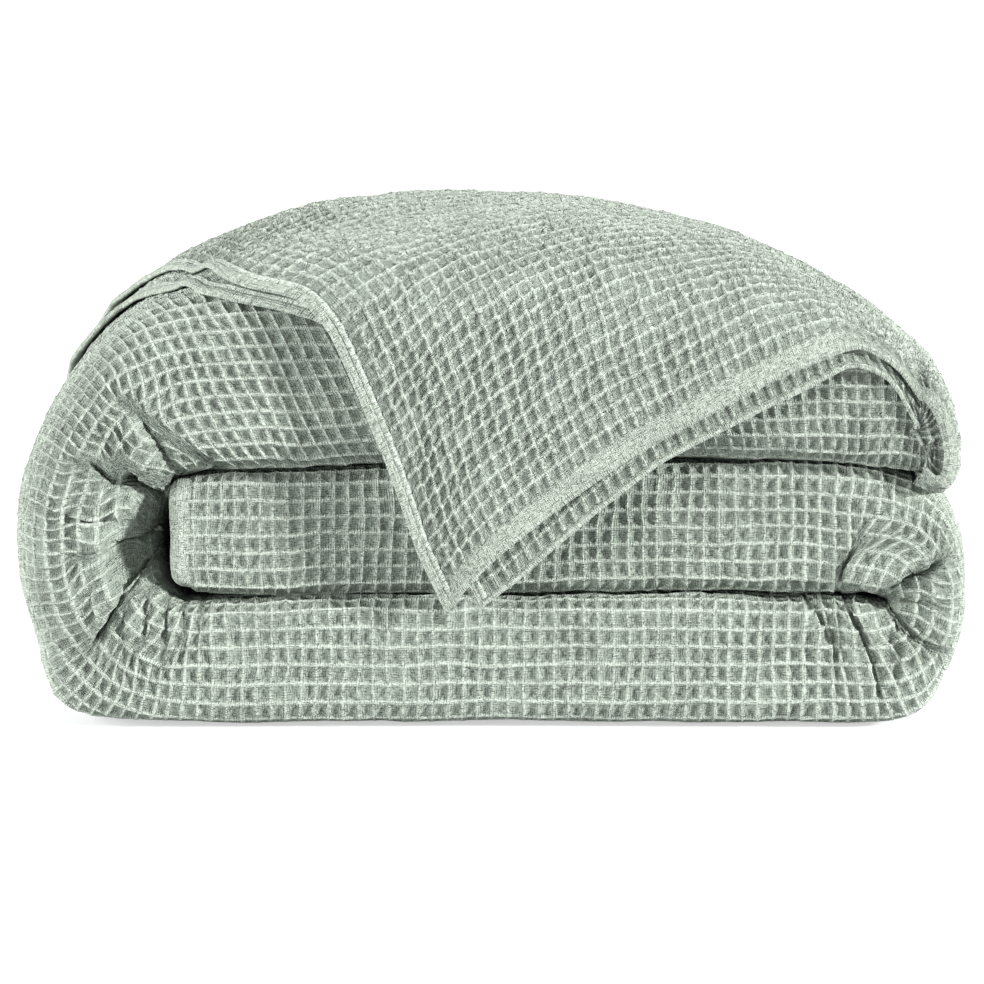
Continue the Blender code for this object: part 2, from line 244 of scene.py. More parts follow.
# Height of the cloth over its base and the ridge share at each crossing of the lines.
def ridgeHeights(alongWeights, acrossWeights, along, across):
    uneven = 1 + layeredNoise(along, across, waffle["uneven"])
    upright = np.broadcast_to(alongWeights[:, None], uneven.shape)
    level = np.broadcast_to(acrossWeights[None, :], uneven.shape)
    high = np.maximum(upright * waffle["acrossRidge"], level * waffle["alongRidge"])
    low = np.minimum(upright, 0) * waffle["acrossRidge"] + np.minimum(level, 0) * waffle["alongRidge"]
    crossing = (upright > 0.5) & (level > 0.5)
    height = np.where(high > 0, high * (1 - 0.12 * ~crossing), low) * uneven - waffle["sunk"]
    return height, np.clip(np.maximum(upright, level), 0, 1)


# Unit normals of a grid of points, from its two directions.
def gridNormals(points):
    du, dv = np.gradient(points, axis=0), np.gradient(points, axis=1)
    normal = np.cross(du, dv)
    return normal / np.maximum(np.linalg.norm(normal, axis=2, keepdims=True), 1e-12)


# Lets the ridge lines stray a little sideways within the cloth, but not at its two ends.
def strayed(points, along, across):
    du = np.gradient(points, axis=0)
    du /= np.maximum(np.linalg.norm(du, axis=2, keepdims=True), 1e-9)
    stray = layeredNoise(along, across, waffle["stray"])
    stray[[0, 1, 2, -1, -2, -3]] = 0
    return points + du * stray[..., None]


# A sheet made from a grid of points, with its uv map in metres, its point attributes and, where
# given, its own shading normals. Faces with none of their corners in keep are taken off.
def gridPiece(name, points, uv, marks, normals=None, keep=None):
    rows, columns = points.shape[:2]
    mesh = bmesh.new()
    bmesh.ops.create_grid(mesh, x_segments=columns - 1, y_segments=rows - 1, size=1)
    data = bpy.data.meshes.new(name)
    mesh.to_mesh(data)
    mesh.free()
    flat = points.reshape(-1, 3) + footprintShift
    data.vertices.foreach_set("co", flat.astype(np.float32).ravel())
    for key, values in marks.items():
        layer = data.attributes.new(key, "FLOAT", "POINT")
        layer.data.foreach_set("value", np.ascontiguousarray(values, np.float32).ravel())
    corners = np.empty(len(data.loops), np.int32)
    data.loops.foreach_get("vertex_index", corners)
    uvLayer = data.uv_layers.new(name="cloth")
    uvLayer.data.foreach_set("uv", uv.reshape(-1, 2)[corners].astype(np.float32).ravel())
    if keep is not None:
        mesh = bmesh.new()
        mesh.from_mesh(data)
        mesh.verts.ensure_lookup_table()
        held = keep.ravel()
        gone = [face for face in mesh.faces if not any(held[v.index] for v in face.verts)]
        bmesh.ops.delete(mesh, geom=gone, context="FACES")
        mesh.to_mesh(data)
        mesh.free()
    data.polygons.foreach_set("use_smooth", np.ones(len(data.polygons), bool))
    data.update()
    if normals is not None:
        own = np.empty(len(data.vertices) * 3, np.float32)
        data.vertices.foreach_get("normal", own)
        if own @ normals.ravel() < 0:
            data.flip_normals()
        data.normals_split_custom_set_from_vertices(normals.reshape(-1, 3).tolist())
    piece = bpy.data.objects.new(name, data)
    bpy.context.scene.collection.objects.link(piece)
    print(f"{name}: {len(data.polygons) * 2} triangles")
    return piece


# Creases of the front fold where the strip turns, seen from the front: the turn, the line as (x, z)
# in mm, how deep and how wide the trough is, how far the cloth beside it stands proud, to the left of
# the line's direction or, when under 0, to the right of it, how long its ends fade and how much of the
# spare cloth it takes up.
creases = [
    ("left", [(-241, 164), (-235, 158), (-228, 152), (-220, 149)], 6, 1.8, -4, 6, 1),
    ("left", [(-218, 157), (-211, 150), (-202, 144), (-194, 140)], 16, 2.2, 6, 5, 1),
    ("left", [(-212, 195), (-206, 184), (-199, 173), (-193, 164), (-184, 155)], 8, 2.2, -6, 14, 1),
    ("left", [(-265, 136), (-257, 131), (-246, 129), (-237, 127), (-228, 128)], 4, 1.5, 4, 12, 0.2),
    ("left", [(-239, 107), (-228, 113), (-212, 115), (-206, 118), (-198, 122)], 9, 1.8, 4, 6, 0.8),
    ("left", [(-239, 102), (-234, 105), (-228, 110)], 4, 1.5, 2, 4, 0),
    ("left", [(-198, 114), (-203, 105), (-212, 93), (-222, 81), (-228, 72), (-234, 61),
     (-242, 50)], 9, 1.7, -7, 10, 1),
    ("left", [(-234, 180), (-221, 164)], 2.5, 3.4, 2, 8, 0.15),
    ("left", [(-226, 185), (-211, 167)], 2.5, 3.4, 2, 8, 0.15),
    ("left", [(-243, 89), (-239, 76), (-237, 61)], 3, 2.6, 2, 8, 0.15),
    ("left", [(-220, 78), (-222, 50)], 3.5, 3.0, 2, 10, 0.3),
    ("left", [(-207, 83), (-208, 55)], 4.5, 3.0, -2, 10, 0.3),
    ("left", [(-195, 82), (-195, 50)], 4.5, 3.0, 2, 10, 0.3),
    ("left", [(-185, 81), (-184, 55)], 4, 3.0, -2, 10, 0.3),
    ("left", [(-174, 78), (-174, 60)], 3, 3.0, 2, 10, 0.2),
    ("right", [(239, 83), (249, 89), (256, 94), (265, 96), (273, 103)], 8, 1.8, 5, 6, 1),
    ("right", [(244, 72), (247, 67), (254, 57), (264, 51), (274, 48)], 4.5, 2.2, -4, 10, 0.8),
    ("right", [(219, 73), (226, 59), (232, 45), (236, 31), (240, 17)], 4.5, 3.0, -6, 14, 0.3),
    ("right", [(192, 79), (199, 71), (205, 61), (209, 51), (212, 43)], 5.5, 2.6, -8, 12, 0.15),
    ("right", [(213, 81), (220, 71), (228, 59)], 3, 2.2, 2, 8, 0.15),
    ("right", [(215, 88), (225, 86), (232, 80), (239, 73), (247, 72)], 8, 2.0, 4, 5, 0),
    ("right", [(214, 87), (215, 96), (219, 104), (225, 110)], 5, 2.0, -4, 6, 0.7),
    ("right", [(249, 79), (258, 78), (268, 77)], 2.5, 2.0, 2, 6, 0.3),
]
# Hollows beside a fold's lit rim: the turn, the outline as (x, z) in mm, how many of its points make
# the rim, how steeply the cloth falls back from it and how deep it gets.
hollows = [
    ("left", [(-220, 150), (-217, 148), (-215, 141), (-219, 134), (-228, 128), (-231, 123), (-233, 114),
     (-238, 108), (-228, 113), (-212, 115), (-205, 118), (-198, 122), (-191, 129), (-191, 139),
     (-195, 141), (-202, 144), (-211, 150), (-218, 156)], 8, 4.0, 32),
    ("left", [(-238, 107), (-237, 98), (-234, 90), (-229, 84), (-225, 80), (-222, 81), (-212, 93),
     (-203, 105), (-198, 115), (-198, 121), (-205, 118), (-212, 115), (-228, 113)], 5, 4.0, 32),
    ("left", [(-223, 79), (-215, 82), (-206, 83), (-194, 83), (-182, 79), (-182, 88), (-191, 96),
     (-197, 114), (-203, 105), (-212, 93)], 5, 1.6, 27),
    ("left", [(-200, 179), (-202, 170), (-202, 161), (-206, 154), (-209, 150), (-202, 144), (-193, 140),
     (-183, 155), (-193, 164)], 5, 0.8, 14),
    ("right", [(238, 80), (243, 86), (251, 88), (253, 79), (248, 72), (242, 73)], 6, 2.4, 16),
    ("right", [(180, 84), (190, 81), (198, 74), (205, 63), (209, 51), (216, 49), (216, 61), (214, 73),
     (209, 83), (200, 91), (182, 91)], 5, 0.9, 5),
    ("right", [(220, 81), (228, 67), (234, 54), (239, 39), (245, 25), (252, 31), (252, 50), (247, 67),
     (242, 76), (231, 81)], 5, 0.8, 6),
    ("right", [(274, 102), (277, 81), (276, 50), (264, 52), (254, 58), (247, 67), (244, 73), (251, 81),
     (249, 89), (256, 94), (265, 95)], 3, 0.5, 12),
]
# Places where the front stands proud: the turn, x, z, size in x, size in z and push, in mm.
swells = [
    ("left", -229, 140, 12.1, 9.9, 5), ("left", -240, 118, 7, 9, 4), ("left", -225, 95, 9.7, 7.4, 3),
    ("left", -206, 165, 9, 10, 4), ("right", 233, 92, 12, 9, 4), ("right", 236, 52, 9, 12, 3),
]
# The gathers of each turn: the rows of the route between which they come and go, how far behind the
# front they reach, and a trough's width beside its proud side, on its other side and in its swell.
gathers = {"rows": {"left": (18.2, 20.2, 29, 31), "right": (4.6, 6.2, 14, 16)}, "behind": 75 * mm,
           "proudWidth": 0.8, "farWidth": 0.9, "swellWidth": 4}
# Where the gathers draw the cloth tight: the least depth of hollow and crease that does, in mm, how
# far beside a crease, and how much of the ridges that takes away.
tightness = {"hollow": 14, "crease": 6, "beside": 6 * mm, "flattens": 0.65}
# How creases take up spare cloth: the cells from the front fold that take part, those between which
# it starts at the inner side and stops at the outer, how far off a crease counts, how fully, how
# short a stretch swallows it, and over how many cells it is evened out.
takeUp = {"cells": (-9, 14), "starts": (-9, -4), "stops": {"left": (-1.2, 2.6), "right": (0.0, 4.0)},
          "near": 12 * mm, "strength": 2.5, "swallow": 2.5 * mm, "evened": 0.6}


# For each point its distance from a polyline, its side and the distance walked along the line.
def alongLine(x, z, line):
    nearest, signed, walked = np.full(x.shape, 1e9), np.zeros_like(x), np.zeros_like(x)
    for (ax, az), (bx, bz), start in zip(line[:-1], line[1:], lengthsAlong(line)):
        ex, ez = bx - ax, bz - az
        size = math.hypot(ex, ez)
        t = np.clip(((x - ax) * ex + (z - az) * ez) / size ** 2, 0, 1)
        away = np.hypot(x - ax - t * ex, z - az - t * ez)
        side = np.sign(ex * (z - az) - ez * (x - ax))
        closer = away < nearest
        nearest = np.where(closer, away, nearest)
        signed = np.where(closer, away * side, signed)
        walked = np.where(closer, start + t * size, walked)
    return nearest, signed, walked


def insideOutline(x, z, outline):
    inside = np.zeros(x.shape, bool)
    for (ax, az), (bx, bz) in zip(outline, np.roll(outline, -1, axis=0)):
        if az != bz:
            crosses = ((az > z) != (bz > z)) & (x < (bx - ax) * (z - az) / (bz - az) + ax)
            inside ^= crosses
    return inside


# How tight the gathers draw the cloth at each point, so that its ridges hardly show.
def drawnTight(points, rows):
    tight = np.zeros(points.shape[:2])
    for turn, (before, start, end, after) in gathers["rows"].items():
        lines = np.flatnonzero((rows > before) & (rows < after))
        x, z = points[lines, :, 0], points[lines, :, 2]
        for group, outline, rim, slope, deepest in hollows:
            if group == turn and deepest > tightness["hollow"]:
                tight[lines] = np.maximum(tight[lines], insideOutline(x, z, np.array(outline) * mm))
        for group, line, depth, *shape in creases:
            if group == turn and depth >= tightness["crease"]:
                nearest = alongLine(x, z, np.array(line) * mm)[0]
                tight[lines] = np.maximum(tight[lines], np.exp(-(nearest / tightness["beside"]) ** 2))
    return eased(tight)


# How far one turn's gathers push each point back from the front.
def gatherPush(turn, x, z):
    push = np.zeros_like(x)
    for group, outline, rim, slope, deepest in hollows:
        if group == turn:
            outline = np.array(outline) * mm
            away = alongLine(x, z, outline[:rim])[0]
            fall = deepest * mm * (1 - np.exp(-slope * away / (deepest * mm)))
            push = np.where(insideOutline(x, z, outline), fall, push)
    for group, line, depth, width, lobe, taper, takes in creases:
        if group == turn:
            line, width = np.array(line) * mm, width * mm
            nearest, signed, walked = alongLine(x, z, line)
            ends = smoothStep(0, taper * mm, np.minimum(walked, lengthsAlong(line)[-1] - walked) + 1e-6)
            proud, near = signed * np.sign(lobe) > 0, gathers["proudWidth"] * width
            trough = depth * mm * np.where(proud, np.exp(-(nearest / near) ** 2),
                                           np.exp(-nearest / (gathers["farWidth"] * width)))
            rise = nearest ** 2 / (nearest ** 2 + near ** 2)
            swell = abs(lobe) * mm * rise * np.exp(-nearest / (gathers["swellWidth"] * width))
            push += ends * (trough - swell * proud)
    for group, sx, sz, wx, wz, proud in swells:
        if group == turn:
            push -= proud * mm * np.exp(-((x - sx * mm) / (wx * mm)) ** 2 - ((z - sz * mm) / (wz * mm)) ** 2)
    return push


# Takes up the inner lines' spare length at the creases, so that the cells between keep their size.
def takenUp(points, along, across, rows):
    moved = points.copy()
    for turn, (before, start, end, after) in gathers["rows"].items():
        lines = np.flatnonzero((rows > before) & (rows < after))
        cloth = along[lines] - along[lines[0]]
        rings = np.flatnonzero((across > takeUp["cells"][0]) & (across < takeUp["cells"][1]))
        shift = np.zeros((len(lines), len(rings)))
        for i, j in enumerate(rings):
            ring = points[lines, j]
            walked = lengthsAlong(ring)
            spare = cloth[-1] - walked[-1]
            if spare <= 0:
                continue
            fine = np.linspace(0, walked[-1], 500)
            x, z = (np.interp(fine, walked, ring[:, k]) for k in (0, 2))
            spots, shares = [], []
            for group, line, *shape, takes in creases:
                if group == turn and takes > 0:
                    nearest = alongLine(x, z, np.array(line) * mm)[0]
                    spots.append(fine[np.argmin(nearest)])
                    shares.append(takes * math.exp(-(nearest.min() / takeUp["near"]) ** 2))
            total = sum(shares)
            held = (1 - math.exp(-takeUp["strength"] * total)) * smoothStep(*takeUp["starts"], across[j])
            held *= 1 - smoothStep(*takeUp["stops"][turn], across[j])
            gained, reach = fine.copy(), takeUp["swallow"]
            for spot, share in zip(spots, shares):
                gained += spare * share / total * smoothStep(spot - reach, spot + reach, fine)
            whole = (1 - held) * np.interp(fine, walked, cloth) + held * gained
            shift[:, i] = np.interp(cloth, whole, fine) - walked
        apart = (across[rings, None] - across[None, rings]) / takeUp["evened"]
        near = np.exp(-apart ** 2) * np.gradient(across[rings])[:, None]
        slideAlong(moved, lines, rings, shift @ (near / near.sum(axis=0)))
    return moved


# Slides points along the strip's length, each on its own line.
def slideAlong(points, lines, rings, shift):
    for i, j in enumerate(rings):
        ring = points[lines, j].copy()
        walked = lengthsAlong(ring)
        for axis in range(3):
            points[lines, j, axis] = np.interp(walked + shift[:, i], walked, ring[:, axis])


# How far the weave of the top band's front leans, its upper cells further along to the left: the rows
# of the route and the share of the lean there, the cells from the front fold and their shift, in mm.
lean = {"rows": (24, 28, 33, 36, 38), "share": (0, 0.4, 0.4, 0.15, 0), "cells": (-6, 0, 7, 12, 40),
        "shift": (-60, 0, 70, 80, 0), "reach": (-8, 40), "evened": 41}


def leaning(points, across, rows):
    moved = points.copy()
    lines = np.flatnonzero(rows > lean["rows"][0] - 1)
    rings = np.flatnonzero((across > lean["reach"][0]) & (across < lean["reach"][1]))
    share = np.interp(rows[lines], lean["rows"], lean["share"])
    share = np.pad(share, lean["evened"] // 2, "edge")
    share = np.convolve(share, np.ones(lean["evened"]) / lean["evened"], "valid")
    shift = np.interp(across[rings], lean["cells"], lean["shift"]) * mm
    slideAlong(moved, lines, rings, -share[:, None] * shift[None, :])
    return moved


# Draws the front in at its gathers.
def gathered(points, front, rows):
    moved = points.copy()
    for turn, (before, start, end, after) in gathers["rows"].items():
        lines = np.flatnonzero((rows > before) & (rows < after))
        part = points[lines]
        here = smoothStep(before, start, rows[lines]) * (1 - smoothStep(end, after, rows[lines]))
        fade = np.clip(1 - (part[..., 1] - front[lines, None]) / gathers["behind"], 0, 1) ** 1.5
        moved[lines, :, 1] += eased(gatherPush(turn, part[..., 0], part[..., 2]) * fade * here[:, None])
    return moved


# The strip. Its cells are counted from the front fold, those of the inner side under 0. Between two
# plies the inner side has few lines and no relief.
strip = {
    "outerCells": 43, "innerCells": 44, "frontCells": 7, "betweenPlies": (6, 37), "linesBetween": 3.0,
    "turnRows": ((5.5, 15), (19, 30)),      # rows of the route with more lines, for the bends
    "pitchRows": (0, 6, 9, 13, 19, 21, 23, 26, 29, 38),
    "pitch": (10.4, 10.4, 10.6, 11.2, 11.2, 10.9, 10.5, 10.2, 9.9, 9.9),     # mm, across the strip
    "stretchesFrom": 8,                     # the cell from which cloth to spare is spread
    "edgeMargin": 2 * mm, "wobble": (0.12, 26 * mm, 11),     # share of a cell, distance, seed
    "hemBand": 8 * mm,                      # plain weave at the cut end, before the waffle starts
    "endRound": 7 * mm, "endFace": (4, 12, 22), "endFade": 30,
    "bunched": (0.35, 0.75),                # how close the lines lie where ridges go and stay whole
    "soft": ((1.3 * mm, 55 * mm, 21), (0.7 * mm, 19 * mm, 22)), "softShare": 0.8,
    "pressed": (1 * mm, 9 * mm, 0.3),       # ridges flattened near the floor, and what is left of them
    "faceCells": (10, 25),                  # cells that surely face outwards
}
stripRoute = route + topTail
# How far the line between the two sides' cells lies from the inner edge, in mm, on the rows where it
# isn't the middle of the front fold: the rows of cells run level with the band's lower edge.
frontLine = {"rows": (19, 22, 25, 28, 29, 31, 41), "height": (38, 46, 48, 55, 58, 60, 60)}


# The lines across the strip, as cell numbers.
def stripLines():
    front, (shut, opens) = strip["frontCells"], strip["betweenPlies"]
    outer = np.concatenate([cellPlaces(0, front, lineShares["front"])[:-1],
                            cellPlaces(front, strip["outerCells"] - front, lineShares["back"])])
    between = np.arange(shut + 2, opens, strip["linesBetween"])
    inner = np.concatenate([cellPlaces(0, shut, lineShares["front"]), between,
                            cellPlaces(opens, strip["innerCells"] - opens, lineShares["back"])])
    return np.concatenate([-inner[:0:-1], outer])


# Where the lines across the strip lie on the route: distance along it, row place and cell number.
# The distance is taken near the outer edge, with a little of the inner one.
def routeLines(rows, firstRow, lastRow):
    outerShare = 0.92
    places = np.linspace(firstRow, lastRow, 3000)
    values = rowValues(rows, places) * mm
    walked = lengthsAlong(outerShare * values[:, 0:2] + (1 - outerShare) * values[:, 2:4])
    cells = int(round(walked[-1] / waffle["alongPitch"]))
    numbers = []
    for cell in range(cells):
        row = np.interp((cell + 0.5) / cells * walked[-1], walked, places)
        turning = any(start < row < end for start, end in strip["turnRows"])
        numbers += [cell + share for share in lineShares["turn" if turning else "face"]]
    numbers = np.array(numbers + [cells], float)
    along = numbers / cells * walked[-1]
    return along, np.interp(along, walked, places), numbers


# How far apart the lines lie, as a share of their distance in the flat cloth.
def lineSpread(points, along):
    spread = np.linalg.norm(np.gradient(points, axis=0), axis=2) / np.gradient(along)[:, None]
    window = np.ones(9) / 9
    return np.apply_along_axis(lambda line: np.convolve(np.pad(line, 4, "edge"), window, "valid"), 0, spread)


# Places of the outer ply's lines round the strip's section, before it is gathered.
def laidRound(across, rows, inset, wobble):
    points = np.empty((len(rows), len(across), 3))
    fronts, outward = np.empty(len(rows)), np.empty((len(rows), 3))
    pitches = np.interp(rows, strip["pitchRows"], strip["pitch"]) * mm
    for k, values in enumerate(rowValues(stripRoute, rows)):
        cut = Section(values)
        fronts[k] = cut.front
        outward[k] = (cut.normal[0], 0, cut.normal[1])
        lower = 0
        if rows[k] > frontLine["rows"][0]:
            lower = cut.half - np.interp(rows[k], frontLine["rows"], frontLine["height"]) * mm
        paths = {side: cut.skin(side) for side in (1, -1)}
        walks = {side: lengthsAlong(path) for side, path in paths.items()}
        walked = (across + wobble[k]) * pitches[k] - lower
        for side, whole in ((1, strip["outerCells"]), (-1, strip["innerCells"])):
            spare = walks[side][-1] - strip["edgeMargin"] - (whole * pitches[k] - side * lower)
            walked += side * spare * smoothStep(strip["stretchesFrom"], whole, side * across)
        for side in (1, -1):
            chosen = walked >= 0 if side > 0 else walked < 0
            y, n = (np.interp(np.abs(walked[chosen]), walks[side], paths[side][:, i]) for i in (0, 1))
            n = n * (cut.half - inset[k]) / cut.half
            y = cut.yMiddle + (y - cut.yMiddle) * (cut.reach - inset[k]) / cut.reach
            flat = cut.middle + n[:, None] * cut.normal
            points[k, chosen] = np.column_stack([flat[:, 0], y, flat[:, 1]])
    slideEnd(points, inset, 0)
    slideEnd(points, inset, -1)
    width = float(np.median(pitches)) * (strip["outerCells"] + strip["innerCells"])
    return points, fronts, outward, width


# The outer ply of the whole strip, with its gathers and ridges.
def layStrip():
    along, rows, numbers = routeLines(stripRoute, 0, len(stripRoute) - 1)
    clothPitch = waffle["alongPitch"] * numbers[-1] / along[-1]
    weights, inset = ridgeShare(numbers), np.zeros(len(along))
    along, rows, weights, inset = roundedEnd(along, rows, weights, inset, True)
    along, rows, weights, inset = roundedEnd(along, rows, weights, inset, False)
    across = stripLines()
    place = (along[:, None], across[None, :] * waffle["acrossPitch"])
    wobble = layeredNoise(*place, [strip["wobble"]])
    wobble = wobble * smoothStep(0, 2, strip["innerCells"] - np.abs(across))
    points, fronts, outward, width = laidRound(across, rows, inset, wobble)
    points = leaning(takenUp(points, along, across, rows), across, rows)
    points = strayed(gathered(points, fronts, rows), *place)
    normal = gridNormals(points)
    onFace = (across > strip["faceCells"][0]) & (across < strip["faceCells"][1])
    normal *= np.sign((normal[:, onFace] * outward[:, None]).sum())
    height, ridge = ridgeHeights(weights, ridgeShare(across), *place)
    bunched = smoothStep(*strip["bunched"], lineSpread(points, along))
    bunched = bunched * (1 - tightness["flattens"] * drawnTight(points, rows))
    height, ridge = height * bunched, ridge * bunched
    hem = 1 - smoothStep(strip["hemBand"] - 2 * mm, strip["hemBand"], along)
    hem = np.broadcast_to(hem[:, None], height.shape)
    shut, opens = strip["betweenPlies"]
    inside = np.broadcast_to((across < -shut) & (across > -opens), height.shape)
    low, high, left = strip["pressed"]
    fade = (1 - hem) * ~inside * (left + (1 - left) * smoothStep(low, high, points[..., 2]))
    soft = layeredNoise(*place, strip["soft"]) * strip["softShare"]
    points = points + normal * (height * fade + soft)[..., None]
    points[..., 2] = np.maximum(points[..., 2], 0.2 * mm)      # nothing goes through the floor
    shading = gridNormals(points)
    shading *= np.sign((shading[:, onFace] * outward[:, None]).sum())
    # the ridge mark sets the ridges' painted highlight; the plain hem band at the cut end is painted close
    # to the ridge tone, as a painted highlight
    ridge = np.maximum(ridge * smoothStep(0, 0.3, fade), 0.8 * hem)
    uv = np.stack(np.broadcast_arrays(along[:, None] * clothPitch, place[1]), axis=2)
    return {"points": points, "normals": shading, "uv": uv, "rows": rows, "along": along, "width": width,
            # the ridge mark carries the painted highlight on the ridges and the painted shade in the pockets
            "marks": {"ridge": ridge, "hem": 0.3 * hem, "inside": inside},
            "cuts": np.flatnonzero(np.isclose(ridge[:, np.flatnonzero(across == 10)[0]], 1))}


# One length of the strip as a piece of its own, cut on a ridge line.
def stripPiece(name, firstRow, lastRow):
    rows, cuts = laid["rows"], laid["cuts"]
    first, last = 0, len(rows) - 1
    if firstRow > 0:
        first = cuts[np.argmin(np.abs(rows[cuts] - firstRow))]
    if lastRow < len(stripRoute) - 1:
        last = cuts[np.argmin(np.abs(rows[cuts] - lastRow))]
    part = slice(first, last + 1)
    marks = {key: values[part] for key, values in laid["marks"].items()}
    piece = gridPiece(name, laid["points"][part], laid["uv"][part], marks, laid["normals"][part])
    finishPiece(piece)
    return piece


# Adds the lines that carry the cloth round the strip's end and over its face.
def roundedEnd(along, rows, weights, inset, atStart):
    turns, radius = np.linspace(0, math.pi / 2, 5)[1:], strip["endRound"]
    overFace = np.array(strip["endFace"]) * mm
    drawnIn = np.concatenate([radius * (1 - np.cos(turns)), radius + overFace])
    further = np.concatenate([radius * turns, radius * math.pi / 2 + overFace])
    zeros = np.zeros(len(drawnIn))
    if atStart:
        return (np.concatenate([along[0] - further[::-1], along]),
                np.concatenate([zeros + rows[0], rows]),
                np.concatenate([zeros, weights]), np.concatenate([drawnIn[::-1], inset]))
    return (np.concatenate([along, along[-1] + further]), np.concatenate([rows, zeros + rows[-1]]),
            np.concatenate([weights, zeros]), np.concatenate([inset, drawnIn]))


# Moves the last lines of a rounded end back, so that the end keeps its place.
def slideEnd(points, inset, end):
    order = np.arange(len(inset)) if end == 0 else np.arange(len(inset))[::-1]
    edge = int(np.argmax(inset[order] == 0))
    outward = (points[order[edge]] - points[order[edge + 6]]).mean(axis=0)
    outward /= np.linalg.norm(outward)
    radius, reach = strip["endRound"], strip["endFade"]
    for k in order[:edge]:
        bend = min(inset[k], radius)
        points[k] += outward * math.sqrt(max(radius ** 2 - (radius - bend) ** 2, 0))
    for step, k in enumerate(order[:edge + reach]):
        points[k] -= outward * radius * (1 - max(0, step - edge) / reach)


def finishPiece(piece):
    piece.data.materials.append(waffleCotton)
    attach(piece, "root")
    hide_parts("blanket")


# The linear colour of an sRGB hex code.
def srgb(code):
    parts = [int(code[i:i + 2], 16) / 255 for i in (1, 3, 5)]
    return [p / 12.92 if p <= 0.04045 else ((p + 0.055) / 1.055) ** 2.4 for p in parts] + [1]


# One shader node with its settings. Each input is a value, or the socket that it is linked to.
def addNode(tree, kind, settings=None, inputs=None):
    node = tree.nodes.new("ShaderNode" + kind)
    for key, value in (settings or {}).items():
        setattr(node, key, value)
    for key, value in (inputs or {}).items():
        if isinstance(value, bpy.types.NodeSocket):
            tree.links.new(value, node.inputs[key])
        else:
            node.inputs[key].default_value = value
    return node


# Washed waffle cotton: dyed yarn, plain woven in the pockets, with longer floats raised as ridges.
# It is dull and slightly hairy. Its colour holds painted light: a painted highlight on the ridges and raised
# floats, and painted shade in the pockets and in the gaps between the yarns. The real yarns are under half a
# millimetre, too fine to show, so they are drawn about three times as wide.
cotton = {
    # The pocket floor tone is darkened as painted shade and the ridge tone lightened as a painted highlight;
    # the hem tone is the plain hem's own tone, lightened as a painted highlight; the yarn's dark and pale
    # factors are painted shade in the gaps between the yarns and a painted highlight on the raised floats.
    "floorTone": "#98A397", "ridgeHighlightTone": "#CAD5C8", "hemToneAndHighlight": "#B9C3B6", "sheenTone": "#EEF3EC",
    "yarnPitch": 1.5 * mm, "yarnRelief": 0.5 * mm, "yarnWidth": 0.95 * mm, "floatLength": 3.6 * mm,
    "floatRelief": 0.9 * mm, "yarnGapShade": 0.62, "floatHighlight": 1.32,
    "drift": 0.9 * mm, "driftSize": 5 * mm, "fuzz": 0.3 * mm, "fuzzSize": 0.7 * mm,
    "patchSize": 45 * mm, "patchDark": 0.94, "patchPale": 1.06,
    "roughness": 0.95, "specular": 0.2, "sheen": 0.4, "sheenRoughness": 0.4,
}


